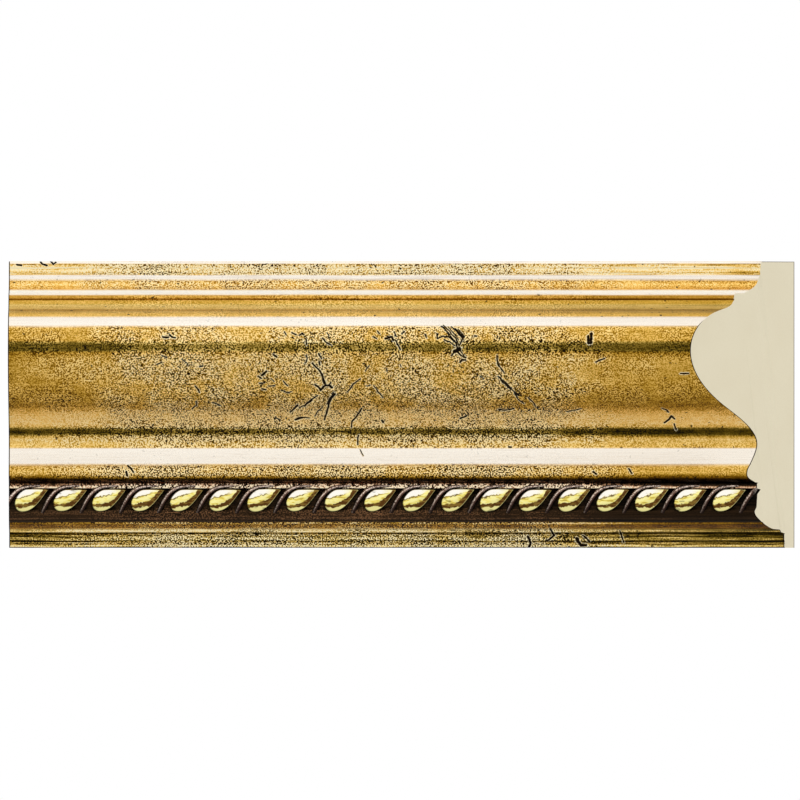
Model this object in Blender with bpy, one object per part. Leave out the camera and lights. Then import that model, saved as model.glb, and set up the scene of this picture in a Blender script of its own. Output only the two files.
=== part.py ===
# A length of gilded wall moulding with a rope ornament.
# Metres, +Z up. The strip runs along X, its flat back is at Y = 0 and faces +Y, and its face looks to -Y.
# The origin is the centre of the back. The left end is cut square and the right end is mitred.

import math

import bmesh
import bpy
from mathutils import Matrix, Vector, geometry

MM = 0.001

# The strip
FACE_HEIGHT = 60 * MM
BACK_LENGTH = 164.6 * MM
MITRE_ANGLE = math.radians(45)
ARC_STEPS = 7

# The rope ornament: beads in a row with a thin strand leaning between each pair
BEAD_COUNT = 19
BEAD_PITCH = 8.114 * MM
FIRST_BEAD_X = -77.9 * MM
ROPE_HEIGHT = 10.0 * MM
BEAD_HALF_LENGTH = 3.4 * MM
BEAD_HALF_HEIGHT = 2.2 * MM
BEAD_BASE = 7.8 * MM
BEAD_RISE = 2.4 * MM
BEAD_STEPS = 3
BEAD_RINGS = 4
STRAND_RADIUS = 0.5 * MM
STRAND_LEAN = 1.9 * MM
STRAND_TOP_PROJECTION = 7.7 * MM
STRAND_MIDDLE_PROJECTION = 8.95 * MM
STRAND_FOOT_PROJECTION = 8.3 * MM
STRAND_POINTS = 7

# Each member of the profile, from the top edge down: (projection from the wall, height above the
# lower edge, both in millimetres), then how the line reaches it. A straight run has no handles.
# A round one has two, each a step from its own end, as on a Bezier curve.
PROFILE = (
    # top fillet and its small step
    ((7.2, 60.0), None, None),
    ((7.5, 56.5), None, None),
    ((7.8, 56.2), None, None),
    # cove, then the ledge above the second fillet
    ((10.7, 53.35), (0.1, -1.6), (-1.0, 0.7)),
    ((12.3, 53.3), None, None),
    ((12.8, 52.8), (0.3, 0.0), (0.0, 0.3)),
    ((13.1, 51.5), None, None),
    # cove into the shoulder of the great torus, its crest, and the ogee under it
    ((16.4, 49.55), (0.2, -1.1), (-1.1, 0.5)),
    ((22.0, 41.3), (2.9, -1.1), (0.0, 4.0)),
    ((14.6, 29.6), (0.0, -4.9), (3.5, 2.7)),
    ((7.9, 21.7), (-3.1, -2.4), (0.0, 3.0)),
    # hollow, and the bead ridge under it
    ((9.4, 17.4), (0.0, -1.8), (-0.9, 1.3)),
    ((10.05, 15.5), (0.4, -0.6), (0.0, 0.75)),
    ((8.35, 13.75), (0.0, -1.0), (0.7, 0.5)),
    # channel of the rope: border, crevice and bed
    ((7.6, 13.65), None, None),
    ((7.95, 13.4), (0.2, 0.0), (0.0, 0.2)),
    ((7.95, 12.65), None, None),
    ((7.3, 12.35), None, None),
    ((7.9, 11.2), (0.2, -0.4), (-0.1, 0.3)),
    ((8.05, 8.6), None, None),
    # lower shoulder with its two fine lines, and the lower lip
    ((8.45, 7.6), (0.1, -0.4), (0.0, 0.4)),
    ((7.0, 5.5), (0.0, -0.8), (0.7, 0.75)),
    ((6.7, 5.35), None, None),
    ((5.35, 4.3), (-0.1, -0.3), (0.6, 0.4)),
    ((4.95, 4.1), None, None),
    ((3.0, 3.3), (-0.1, -0.35), (0.6, 0.1)),
    ((2.2, 2.7), (-0.45, -0.1), (0.0, 0.35)),
    ((2.2, 0.25), None, None),
    ((1.95, 0.0), None, None),
)

# Outline of one bead seen from the front, as shares of its half length and half height, with the
# handles of the round runs that reach each point: a leaf that leans to the right, straight along
# its top, pointed at the upper right and blunt at the lower left.
BEAD_OUTLINE = (
    ((1.05, 0.95), None, None),
    ((-0.27, 1.0), None, None),
    ((-0.95, -0.2), (-0.3, -0.3), (0.0, 0.45)),
    ((-0.5, -1.0), (0.0, -0.5), (-0.25, 0.0)),
    ((1.05, 0.95), (0.65, 0.0), (-0.35, -0.75)),
)


def outline_points(members, steps):
    """The points of an outline: straight runs as they are, round runs cut into steps."""
    points = [Vector(members[0][0])]
    for (start, _, _), (end, leave, reach) in zip(members, members[1:]):
        if leave is None:
            points.append(Vector(end))
            continue
        first = Vector(start)
        last = Vector(end)
        bend = geometry.interpolate_bezier(first, first + Vector(leave), last + Vector(reach), last, steps + 1)
        points.extend(bend[1:])
    return points


def make_material(name, colour, metallic, roughness):
    material = bpy.data.materials.new(name)
    material.use_nodes = True
    shader = material.node_tree.nodes["Principled BSDF"]
    shader.inputs["Base Color"].default_value = (*colour, 1.0)
    shader.inputs["Metallic"].default_value = metallic
    shader.inputs["Roughness"].default_value = roughness
    return material


def add_object(name, mesh, collection):
    obj = bpy.data.objects.new(name, mesh)
    collection.objects.link(obj)
    return obj


def mesh_from_curve(obj, name):
    """The curve as a closed mesh in world space, with its caps welded; the curve is removed."""
    bpy.context.view_layer.update()
    evaluated = obj.evaluated_get(bpy.context.evaluated_depsgraph_get())
    mesh = bpy.data.meshes.new_from_object(evaluated)
    mesh.transform(obj.matrix_world)
    mesh.name = name
    shell = bmesh.new()
    shell.from_mesh(mesh)
    bmesh.ops.remove_doubles(shell, verts=shell.verts, dist=0.00001)
    bmesh.ops.recalc_face_normals(shell, faces=shell.faces)
    shell.to_mesh(mesh)
    shell.free()
    bpy.data.objects.remove(obj)
    return mesh


def hide_helper(obj):
    obj.hide_render = True
    obj.display_type = "WIRE"


def place(along, projection, height):
    """World position of a point given along the strip, out from the wall and above the lower edge."""
    return Vector((along, -projection, height - FACE_HEIGHT / 2))


def make_strip(collection):
    """The profile extruded over the length of the back."""
    curve = bpy.data.curves.new("profile", "CURVE")
    curve.dimensions = "2D"
    curve.fill_mode = "BOTH"
    curve.extrude = BACK_LENGTH / 2
    face = [point * MM for point in outline_points(PROFILE, ARC_STEPS)]
    outline = [Vector((0.0, FACE_HEIGHT))] + face + [Vector((0.0, 0.0))]
    spline = curve.splines.new("POLY")
    spline.points.add(len(outline) - 1)
    for point, (projection, height) in zip(spline.points, outline):
        point.co = (projection, height - FACE_HEIGHT / 2, 0.0, 1.0)
    spline.use_cyclic_u = True
    obj = add_object("profile", curve, collection)
    # the curve's X is the projection, its Y the height, and its extrusion runs along the strip
    obj.matrix_world = Matrix(((0, 0, -1, 0), (-1, 0, 0, 0), (0, 1, 0, 0), (0, 0, 0, 1)))
    return add_object("moulding", mesh_from_curve(obj, "moulding"), collection)


def make_bead_mesh():
    """One bead of the rope: its outline raised to a dome, with a foot that goes into the channel."""
    size = Vector((BEAD_HALF_LENGTH, BEAD_HALF_HEIGHT))
    outline = [point * size for point in outline_points(BEAD_OUTLINE, BEAD_STEPS)[:-1]]
    dome = bmesh.new()
    foot = BEAD_BASE - BEAD_RISE / 2
    rows = [[dome.verts.new(place(x, foot, ROPE_HEIGHT + z)) for x, z in outline]]
    for ring in range(BEAD_RINGS):
        turn = math.pi / 2 * ring / BEAD_RINGS
        share = math.cos(turn)
        lift = BEAD_BASE + BEAD_RISE * math.sin(turn)
        rows.append([dome.verts.new(place(x * share, lift, ROPE_HEIGHT + z * share)) for x, z in outline])
    dome.faces.new(rows[0])
    for lower, upper in zip(rows, rows[1:]):
        for i in range(len(outline)):
            j = (i + 1) % len(outline)
            dome.faces.new((lower[i], lower[j], upper[j], upper[i]))
    crest = dome.verts.new(place(0.0, BEAD_BASE + BEAD_RISE, ROPE_HEIGHT))
    for i in range(len(outline)):
        dome.faces.new((rows[-1][i], rows[-1][(i + 1) % len(outline)], crest))
    bmesh.ops.recalc_face_normals(dome, faces=dome.faces)
    mesh = bpy.data.meshes.new("bead")
    dome.to_mesh(mesh)
    dome.free()
    return mesh


def make_strand_mesh(collection):
    """The thin strand between two beads: a leaning tube that arches over the channel."""
    curve = bpy.data.curves.new("strand", "CURVE")
    curve.dimensions = "3D"
    curve.bevel_depth = STRAND_RADIUS
    curve.bevel_resolution = 2
    curve.use_fill_caps = True
    spline = curve.splines.new("POLY")
    spline.points.add(STRAND_POINTS - 1)
    for step, point in enumerate(spline.points):
        share = 2 * step / (STRAND_POINTS - 1) - 1
        end = STRAND_TOP_PROJECTION if share > 0 else STRAND_FOOT_PROJECTION
        projection = STRAND_MIDDLE_PROJECTION + (end - STRAND_MIDDLE_PROJECTION) * share ** 2
        height = ROPE_HEIGHT + share * (BEAD_HALF_HEIGHT + STRAND_RADIUS)
        along = STRAND_LEAN * (share + 0.25 * share ** 2)
        point.co = (*place(along, projection, height), 1.0)
    return mesh_from_curve(add_object("strand", curve, collection), "strand")


def make_rope(collection):
    """Beads at every pitch, and a strand half a pitch before each bead and after the last."""
    bead = make_bead_mesh()
    strand = make_strand_mesh(collection)
    for i in range(BEAD_COUNT):
        obj = add_object(f"bead_{i + 1:02d}", bead, collection)
        obj.location.x = FIRST_BEAD_X + i * BEAD_PITCH
    for i in range(BEAD_COUNT + 1):
        obj = add_object(f"strand_{i + 1:02d}", strand, collection)
        obj.location.x = FIRST_BEAD_X + (i - 0.5) * BEAD_PITCH
    for obj in collection.objects:
        hide_helper(obj)


def make_block(name, collection, size):
    block = bmesh.new()
    bmesh.ops.create_cube(block, size=size)
    mesh = bpy.data.meshes.new(name)
    block.to_mesh(mesh)
    block.free()
    obj = add_object(name, mesh, collection)
    hide_helper(obj)
    return obj


def add_boolean(obj, name, operation, cutter=None, collection=None):
    modifier = obj.modifiers.new(name, "BOOLEAN")
    modifier.operation = operation
    modifier.solver = "EXACT"
    if collection:
        modifier.operand_type = "COLLECTION"
        modifier.collection = collection
    else:
        modifier.object = cutter


def cut_ends(strip, cutters):
    """The square end trims the first strand; the mitre runs from the back's right edge to the front."""
    side = 2 * FACE_HEIGHT
    square = make_block("square_end_cutter", cutters, side)
    square.location.x = -BACK_LENGTH / 2 - side / 2
    mitre = make_block("mitre_cutter", cutters, side)
    outward = Vector((math.cos(MITRE_ANGLE), -math.sin(MITRE_ANGLE), 0.0))
    mitre.location = Vector((BACK_LENGTH / 2, 0.0, 0.0)) + outward * side / 2
    mitre.rotation_euler.z = -MITRE_ANGLE
    add_boolean(strip, "square end", "DIFFERENCE", cutter=square)
    add_boolean(strip, "mitre", "DIFFERENCE", cutter=mitre)


def main():
    for obj in list(bpy.data.objects):
        bpy.data.objects.remove(obj)
    scene = bpy.context.scene
    moulding = bpy.data.collections.new("gilded_wall_moulding")
    helpers = bpy.data.collections.new("cutters")
    rope = bpy.data.collections.new("rope")
    scene.collection.children.link(moulding)
    scene.collection.children.link(helpers)
    helpers.children.link(rope)

    strip = make_strip(moulding)
    strip.data.materials.clear()
    strip.data.materials.append(make_material("antique_gilt", (0.66, 0.43, 0.13), 0.9, 0.32))
    make_rope(rope)
    add_boolean(strip, "rope", "UNION", collection=rope)
    cut_ends(strip, helpers)
    strip.data.shade_smooth()
    strip.data.set_sharp_from_angle(angle=math.radians(30))


main()
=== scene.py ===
import math
import random

import bmesh
import bpy
import numpy as np
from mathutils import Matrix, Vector, geometry, noise


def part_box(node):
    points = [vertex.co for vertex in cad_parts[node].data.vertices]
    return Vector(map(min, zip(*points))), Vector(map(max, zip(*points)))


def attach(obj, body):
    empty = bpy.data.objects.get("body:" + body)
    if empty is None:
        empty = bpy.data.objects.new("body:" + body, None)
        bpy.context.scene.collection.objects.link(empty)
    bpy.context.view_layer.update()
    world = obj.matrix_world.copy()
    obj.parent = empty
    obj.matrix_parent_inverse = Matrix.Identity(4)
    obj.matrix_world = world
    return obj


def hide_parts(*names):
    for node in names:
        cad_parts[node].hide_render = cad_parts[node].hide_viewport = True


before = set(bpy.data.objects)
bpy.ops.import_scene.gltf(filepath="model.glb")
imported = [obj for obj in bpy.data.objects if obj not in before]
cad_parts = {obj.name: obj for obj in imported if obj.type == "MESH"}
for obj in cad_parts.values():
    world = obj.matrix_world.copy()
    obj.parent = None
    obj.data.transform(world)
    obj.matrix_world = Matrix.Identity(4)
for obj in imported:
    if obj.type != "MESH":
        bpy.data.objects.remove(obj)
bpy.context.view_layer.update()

# Every size below is in millimetres unless it says otherwise, and MM makes metres of it.
MM = 0.001
CAD_LOW, CAD_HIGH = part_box("moulding")
LEFT_END = CAD_LOW.x
RIGHT_END = CAD_HIGH.x
LOWER_EDGE = CAD_LOW.z
BACK_LENGTH = RIGHT_END - LEFT_END
FACE_HEIGHT = (CAD_HIGH.z - CAD_LOW.z) / MM

# Profile of the strip, from the top edge down: (projection from the wall, height above the lower
# edge). A point that a round run reaches has the run's two handles too, each a step from its end.
PROFILE = (
    # top fillet with its fine reeds, and its small step
    (6.95, 60), (7.3, 59.5), (7.2, 59.2),
    (7.3, 58.75, (0.1, -0.1), (0, 0.1)),
    (7.22, 58.45),
    (7.4, 57.75, (0.1, -0.1), (0, 0.1)),
    (7.3, 57.35),
    (7.5, 56.9, (0.1, -0.1), (0, 0.1)),
    (7.8, 56.2),
    # cove, then the ledge above the second fillet
    (10.7, 53.35, (0.1, -1.6), (-1, 0.7)),
    (12.3, 53.3),
    (12.8, 52.8, (0.3, 0), (0, 0.3)),
    (12.9, 52.2), (12.75, 51.95), (13.1, 51.5),
    # cove into the shoulder of the great torus, its crest, and the ogee under it
    (16.4, 49.55, (0.2, -1.1), (-1.1, 0.5)),
    (22, 41.3, (2.9, -1.1), (0, 4)),
    (14.6, 29.6, (0, -4.9), (3.5, 2.7)),
    (7.9, 21.7, (-3.1, -2.4), (0, 3)),
    # hollow, and the bead ridge under it
    (9.4, 17.4, (0, -1.2), (-0.65, 1.4)),
    (10.05, 15.5, (0.4, -0.6), (0, 0.75)),
    (8.35, 13.75, (0, -1), (0.7, 0.5)),
    # channel of the rope: border, crevice and bed
    (7.6, 13.65),
    (7.95, 13.4, (0.2, 0), (0, 0.2)),
    (7.95, 12.5), (7.2, 12.25),
    (7.9, 11.2, (0.2, -0.4), (-0.1, 0.3)),
    (8.05, 8.6),
    # lower shoulder with its two fine lines, and the lower lip with its worn reeds
    (8.45, 7.6, (0.1, -0.4), (0, 0.4)),
    (7, 5.5, (0, -0.8), (0.7, 0.75)),
    (6.7, 5.35),
    (5.35, 4.3, (-0.1, -0.3), (0.6, 0.4)),
    (4.95, 4.1),
    (3.2, 3.8, (-0.1, -0.2), (0.6, 0.05)),
    (2.9, 3.25, (-0.15, 0), (0, 0.1)),
    (2.1, 3), (2.2, 2.75), (2.2, 1.6),
    (2.08, 1.35), (2.2, 1.1), (2.1, 0.85), (2.2, 0.65), (2.2, 0.2), (2, 0),
)
ROW_SPACING = 0.42
MEMBER_ROWS = 3
COLUMNS = 264
END_EDGE = 0.3

# How bright the leaf is, by height above the lower edge: 0 is black under its glaze, 1 is bare and
# bright, and above 1 takes a painted highlight. The glaze stays in lines along the quirks; the light
# and dark bands along the members are its wear and, in part, painted light and shade of the studio.
TONE = (
    # top fillet and its reeds
    (60, 0.9), (59.4, 0.8), (59.1, 0.98), (58.8, 1.25), (58.5, 1.35), (58.2, 1.1), (58, 0.95),
    (57.6, 1.06), (57.3, 0.9), (57.15, 0.7), (56.1, 0.66),
    # cove, and the ledge above the second fillet
    (55.3, 0.93), (54.7, 0.78), (54.4, 0.8), (53.1, 0.8), (52.9, 0.62), (52.5, 0.62), (52.3, 0.56),
    (52.05, 0.3), (51.8, 0.62),
    # cove into the torus's shoulder
    (51, 0.66), (50.5, 0.76), (50.2, 0.76), (49.75, 0.6), (49.2, 0.58), (48.7, 0.72), (46.2, 0.72),
    (45.8, 0.66),
    # great torus, with the dark line along it
    (43.7, 0.66), (43.2, 0.52), (42.7, 0.28), (42, 0.21), (41.4, 0.25), (40.9, 0.4), (40.3, 0.53),
    (39.6, 0.66), (38, 0.68), (36, 0.64), (35, 0.63), (33.4, 0.55), (31.5, 0.51), (30.2, 0.45),
    (29.6, 0.47), (28.9, 0.66),
    # foot of the ogee, its dark quirk and the hollow
    (28.3, 0.9), (27.3, 1.05), (26, 1.05), (25.4, 0.78), (25, 0.34), (24.6, 0.12), (24, 0.12),
    (23.6, 0.36), (23.2, 0.7), (22.7, 0.93), (21.2, 0.8), (17.5, 0.8),
    # bead ridge
    (17.2, 0.82), (16.5, 0.64), (15.8, 0.78), (15.3, 0.54), (14.9, 0.3), (14.5, 0.16), (14.1, 0.16),
    # channel of the rope, with its bright border
    (13.8, 0.3), (13.5, 0.3), (13.1, 0.34), (12.95, 0.75), (12.8, 0.98), (12.45, 1), (12.3, 0.08),
    (11.9, 0.06), (9, 0.08), (8.2, 0.2),
    # lower shoulder and its two fine lines
    (7.6, 0.24), (6.4, 0.22), (6.1, 0.3), (5.97, 0.42), (5.8, 0.1), (5.4, 0.08), (5.25, 0.32),
    (5.1, 0.46), (5, 0.24), (4.35, 0.3), (4.15, 0.45),
    # lower lip, worn in reeds
    (3.8, 0.85), (3.5, 0.95), (3.25, 0.95), (3.1, 0.02), (2.85, 0.5), (2.5, 0.4), (2.3, 0.26),
    (1.95, 0.72), (1.65, 0.7), (1.43, 0.02), (1.12, 0.78), (0.9, 0.34), (0.65, 0.74), (0.45, 1),
    (0.3, 1.05), (0.2, 0.8), (0.1, 0.04), (0, 0.04),
)

# The wear drifts along the strip: (distance along it, change of tone). The face has a drift of its
# own, and so has the lower lip, whose right end has stayed dirty. The rope's border and the lip's
# brightest line add theirs, each from height to height.
FACE_DRIFT = ((-82, 0), (-45, 0.03), (-30, 0.02), (-8, 0.06), (8, 0.01), (28, 0), (46, -0.06), (82, -0.08))
LIP_TOP = 4.1
LIP_DRIFT = ((-82, -0.06), (-45, 0.06), (-5, 0.03), (30, -0.06), (50, -0.16), (82, -0.26))
BORDER = ((12.35, 13.6),)
BORDER_DRIFT = ((-82, 0), (-62, 0.02), (-50, 0.12), (40, 0.1), (52, -0.02), (60, -0.2), (82, -0.22))
LIP_LINE = ((3.2, 4),)
LIP_LINE_DRIFT = ((-82, -0.08), (-45, 0.1), (-5, 0.05), (15, -0.1), (50, -0.2), (62, -0.4), (82, -0.36))

# Stains and one rubbed line: (along the strip, height, spread along, spread up, change of tone)
STAINS = (
    (24, 34, 8, 4, -0.07), (-61, 42, 7, 1.6, -0.08), (-72, 33, 6, 2.5, -0.03),
    (-12, 27.5, 8, 2, 0.03), (12, 38.5, 5, 2, -0.04), (52, 36, 9, 4, -0.03),
    (-72, 52.4, 7, 0.6, -0.06), (-15, 52.4, 6, 0.6, -0.07), (46, 52.4, 8, 0.6, -0.08),
    (10, 47, 7, 1.2, -0.1), (35, 5.12, 13, 0.14, 0.9),
)

# Burnished members with bands of painted highlight; matt members with less metal, and a paler
# painted highlight where they are burnished too; members worn in streaks, those where the glaze
# has another hue, and those where the grit is calm or rough. Each runs from height to height.
BURNISHED_HIGHLIGHTS = ((59.55, 60), (56.2, 57.15), (53.05, 54.05), (46.4, 48.35), (17.45, 20.85))
MATT = ((53.05, 54.05), (49.95, 50.8), (3.2, 4))
STREAKED = ((56, 60), (0, 4.1))
WARM = ((54.05, 56.2), (51.9, 53.05), (3.95, 4.95))
OLIVE = ((49.3, 51.1), (41, 43.3), (23.5, 25.3), (0, 3.95))
MAUVE = ((5.45, 14.2),)
CALM = ((48.5, 53), (5.5, 12.35))
ROUGHLY_WORN = ((57.2, 59.4), (22.3, 28.9), (15, 17.3), (12.4, 13.3), (5, 5.4), (0.2, 3.1))
ROUGH_GAIN = 0.7
BAND_EDGE = 0.2
BAND_WANDER = 0.08

# How strong the grit is, by distance along the strip
LIVELY = ((-82, 0.4), (-66, 0.5), (-54, 1), (28, 1), (46, 0.4), (82, 0.25))

# Cracks in the leaf: half width, then the points (along the strip, height) that each runs through.
CRACKS = (
    # the branched crack left of the middle
    (0.16, (-18.7, 38.7), (-17.9, 37.8), (-17, 36.8), (-16.6, 35.9), (-16.1, 34.3)),
    (0.19, (-16, 34), (-15.2, 34), (-14.6, 33.6)),
    (0.17, (-18.1, 34.1), (-17.6, 33.7), (-17, 33.1), (-16.1, 33.9)),
    (0.1, (-15.2, 34.2), (-14.8, 34.7)),
    (0.1, (-17.6, 31.9), (-19.2, 30.9), (-20.3, 29.9), (-21.5, 29.3)),
    (0.13, (-18.8, 30.9), (-20.5, 29.7)),
    (0.16, (-21.9, 29.8), (-22.9, 28.8), (-23.3, 28.4)),
    (0.15, (-14, 32.2), (-14.8, 31.3), (-15.1, 30.6), (-15.4, 29.6), (-15.8, 28.2), (-16.2, 26.8)),
    (0.11, (-14.3, 32.5), (-15.2, 31.1), (-15.7, 30.1)),
    (0.09, (-16.6, 29.6), (-17.6, 28.5), (-18.2, 27.6)),
    (0.17, (-22.3, 26.8), (-21.6, 27.1), (-20.8, 27.3)),
    (0.1, (-20.8, 27.3), (-19.5, 27.2)),
    (0.13, (-17.4, 40.7), (-17.2, 40.2), (-16.8, 39.6)),
    (0.09, (-17.3, 39.2), (-17.1, 38.3)),
    (0.11, (-20, 40.3), (-19.8, 39.7), (-20.1, 38.7)),
    # further left
    (0.19, (-29.3, 36.1), (-28.3, 36.9)),
    (0.14, (-30, 35.9), (-29.4, 35.5)),
    (0.11, (-29.8, 34.4), (-28.8, 34.6)),
    (0.12, (-29.3, 33.3), (-28.4, 33.1)),
    (0.11, (-27.8, 33.9), (-26.6, 33.9)),
    (0.09, (-27.4, 35.5), (-26.7, 34.8)),
    (0.12, (-24.8, 34.9), (-24.3, 34.3), (-23.9, 33.9)),
    (0.11, (-25.2, 33), (-24.6, 32.9), (-24, 32.5), (-23.1, 32.7)),
    (0.16, (-26.9, 40.4), (-26.2, 40)),
    (0.1, (-26.5, 27.4), (-25.7, 26.8)),
    (0.16, (-50, 44.2), (-49.3, 44.05), (-48.8, 44.1)),
    (0.16, (-48.5, 44.6), (-48, 44.1), (-47.4, 44)),
    (0.12, (-50.1, 40.3), (-49.2, 39.9)),
    (0.12, (-51.2, 38.4), (-50.2, 38.8)),
    (0.09, (-46, 39.5), (-44.8, 38.6), (-44.6, 38.1)),
    (0.13, (-42.2, 38), (-41.6, 38.1)),
    (0.12, (-43.2, 33.9), (-42.5, 33.2), (-42.3, 32.5)),
    (0.11, (-42.9, 30.6), (-43, 29.8), (-43.9, 29.1)),
    (0.11, (-39.6, 30.4), (-38.8, 30.1), (-38, 29.8)),
    (0.16, (-57.3, 17.2), (-56.6, 16.6), (-56.2, 15.9)),
    (0.18, (-57.7, 16), (-57.5, 15.1)),
    # along the foot of the great torus
    (0.12, (-24.5, 45.3), (-24.3, 44.6)),
    (0.14, (-23, 45.1), (-22.2, 44.6)),
    (0.14, (-21.5, 44.5), (-20.9, 44.9), (-20.6, 44.7)),
    (0.1, (-20, 43.7), (-19.9, 42.5)),
    (0.13, (-16.7, 43.9), (-15.9, 43.1), (-14.8, 42.5)),
    (0.1, (-15.7, 45), (-15.3, 44.4)),
    (0.12, (-5.1, 45.4), (-4.7, 44.8)),
    (0.13, (-6, 44.2), (-5.3, 43.8)),
    (0.19, (-3.4, 43.9), (-2.2, 44.1), (-1.8, 43.5)),
    (0.12, (-1.6, 45.2), (-1.3, 44.4)),
    (0.14, (0, 44.9), (0.5, 45.2)),
    (0.13, (-1.4, 43.5), (-0.8, 42.5), (-0.4, 41.5)),
    (0.12, (4.8, 44.6), (5, 44)),
    # the middle
    (0.11, (-8.7, 35.4), (-10.1, 34.4), (-10.9, 33.2), (-11.5, 32.6)),
    (0.07, (-7, 38), (-7.7, 37)),
    (0.1, (-5.9, 34), (-5, 32.8), (-4.5, 32.1), (-4, 31.5)),
    (0.09, (-7.4, 33.8), (-6.6, 34)),
    (0.12, (-8.4, 29.2), (-9.2, 28), (-10.4, 26.4), (-10.6, 25.3)),
    (0.18, (-4.2, 26.7), (-3.9, 26.3)),
    (0.12, (-9.1, 23.6), (-9.3, 22.8), (-9.2, 21.7)),
    (0.07, (-8.8, 20.6), (-8.1, 19.4)),
    (0.09, (-3.3, 37.5), (-3.2, 37)),
    (0.09, (-0.4, 38.4), (-0.2, 37.9)),
    # the flaked tangle on the torus, right of the middle
    (0.12, (8.2, 46.4), (9, 45.8), (10.3, 44.2), (11.3, 42.8), (11.6, 41.3)),
    (0.1, (8.6, 46.6), (9.7, 45.6), (11.3, 43.7), (11.8, 42.5)),
    (0.09, (9.6, 46.3), (10.6, 45.2), (11.8, 43.5)),
    (0.1, (10.4, 46.3), (12.2, 44.4), (12.9, 43.7)),
    (0.11, (11.1, 45.9), (12.9, 44.1), (12.3, 43), (11.9, 42.2)),
    (0.09, (11.7, 45.8), (13.1, 44.2)),
    (0.13, (7.3, 44.9), (7.4, 43.8), (8.4, 44.3), (9.8, 44.2), (10.9, 43.2)),
    (0.1, (8.7, 43.5), (9.9, 43.2), (11, 42.3)),
    (0.3, (11, 41.1), (11.9, 41.6)),
    (0.15, (11.6, 41), (12.3, 40.2), (13.2, 39.8)),
    (0.11, (12, 41.4), (12.9, 40.3)),
    (0.11, (10.3, 40.2), (10.9, 41)),
    (0.13, (12.2, 38.8), (12.5, 39.4), (13.2, 39.4)),
    # further right
    (0.14, (15.1, 44.4), (15.6, 44.3)),
    (0.11, (19.8, 40.3), (19.9, 38.9), (20.1, 38), (20.7, 37.6), (21.2, 36.8)),
    (0.12, (20.1, 35.9), (21, 34.8), (22.3, 33.6), (23.4, 32.8), (24.1, 31.4)),
    (0.09, (21.1, 35.1), (22.9, 33.4)),
    (0.1, (24.1, 31.2), (25.5, 30.2)),
    (0.11, (20.2, 29), (21.3, 28.8), (22.6, 28.9), (23.4, 29.2)),
    (0.11, (26.4, 31.4), (27.4, 30.5), (27.9, 29.6)),
    (0.1, (16.4, 35.9), (17, 35.4)),
    (0.14, (12.2, 27.2), (12.9, 27.3), (13.5, 27.7)),
    (0.22, (38.9, 44.3), (38.9, 42.9)),
    (0.2, (39.6, 44.9), (39.4, 42.9)),
    (0.12, (40.5, 38.9), (41.1, 39.2), (42.3, 39.7)),
    (0.09, (34.4, 28.5), (36, 28.8), (37.5, 29.1)),
    (0.12, (58.2, 36.5), (59.9, 36.5)),
    (0.12, (54.3, 29.3), (55.2, 28.9), (55.8, 28.4)),
    (0.16, (54.9, 26.2), (55.9, 26.9), (56.4, 27.6), (57, 27)),
    (0.13, (57, 26), (57.3, 24.7)),
    (0.15, (47.4, 16.6), (48.1, 15.7)),
    (0.16, (40, 15.9), (40.6, 15.5)),
    (0.14, (22.3, 21.2), (22.9, 21.1)),
    # nicks along the two edges
    (0.15, (-80.6, 59.3), (-79.7, 59.2)),
    (0.15, (-75.7, 59.9), (-75.2, 59.4), (-74.3, 59.2)),
    (0.15, (-73.6, 60), (-73, 59.4), (-72.6, 59.8)),
    (0.2, (26.3, 2.4), (26.9, 1.2), (26.6, 0.2)),
    (0.16, (31, 4), (31.9, 2.6), (30.6, 1.6)),
    (0.24, (36.6, 1.9), (37.4, 0.6), (38.6, 0.5)),
    (0.15, (37.9, 2.6), (39.3, 1.4)),
    (0.13, (45.6, 3.6), (46.5, 1.2)),
)

# Where small chips crowd together: (along the strip, height, spread along, spread up, how many)
CHIPPED = (
    (-28, 36, 3, 3, 22), (-25.5, 27, 3, 1, 10), (-49, 39, 3, 2.5, 16),
    (-41, 32.5, 2.5, 3, 12), (-2.5, 44, 2.5, 1, 16), (-19, 44, 5, 1.2, 16),
    (9.5, 44.5, 2, 1, 14), (12, 37.5, 5, 3, 18), (24, 32, 4, 2.5, 30),
    (26, 29.2, 7, 0.6, 20), (-11, 28, 3.5, 1.5, 10), (14, 28, 5, 1, 14),
    (-66, 41.5, 6, 0.8, 14), (35, 33, 4, 2.5, 12), (42, 24.8, 4, 0.8, 12),
    (-50, 24.5, 8, 0.8, 14), (35, 2, 9, 1.2, 26), (-30, 2.2, 16, 1.2, 20),
    (-20, 59, 30, 0.5, 16),
)
CHIP_LENGTH = (0.03, 0.42)
CHIP_WIDTH = (0.07, 0.13)
CHIP_SLOPE = -50.0  # degrees
CHIP_SLOPE_SPREAD = 35.0  # degrees

# Relief that is sunk into the face, and how near a flaw its quads are halved, once and again
CRACK_DEPTH = 0.13
CHIP_DEPTH_SHARE = 0.6
FLAW_WOBBLE = 0.14
FLAW_WOBBLE_SCALE = 0.9
RELIEF_WAVE = 0.035
REED_WEAR = 0.05
REFINE_REACHES = (0.38, 0.12)

# A point belongs to the face if it is this near the drawn profile and this far from the wall, and
# its height stays as it is this near the strip's two edges.
FACE_SLACK = 0.5
SIDE_REACH = 1.0
EDGE_SLACK = 0.01

# How bruised the mitre's edge is, by height
MITRE_BRUISE = ((46, 1), (48, 0.15))

# Places of the strip's finishes among its materials
GILT_SLOT = 0
CUT_SLOT = 1
BACK_SLOT = 2

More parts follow.
